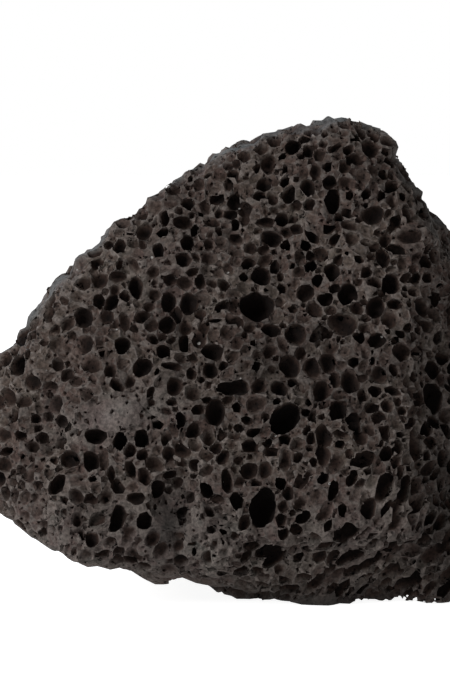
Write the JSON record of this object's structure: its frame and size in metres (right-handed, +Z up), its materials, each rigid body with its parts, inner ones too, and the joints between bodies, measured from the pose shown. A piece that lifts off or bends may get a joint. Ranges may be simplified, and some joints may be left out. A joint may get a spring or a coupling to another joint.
{
  "type": "lava rock",
  "caption": "Wedge of dark, bubbly lava rock, pitted all over by burst gas bubbles, that stands on a flat underside.",
  "frame": {"origin": "under the middle of the stone's box, in the plane of the flat that it rests on", "axes": "+X along the stone's length, towards its steep right end; the broad front face looks along -Y; +Z up towards the crest"},
  "size_m": [0.1076, 0.0684, 0.0833],
  "materials": {
    "dark_basalt": "matte"
  },
  "bodies": {
    "root": {"lava_rock": "dark_basalt"}
  },
  "joints": []
}
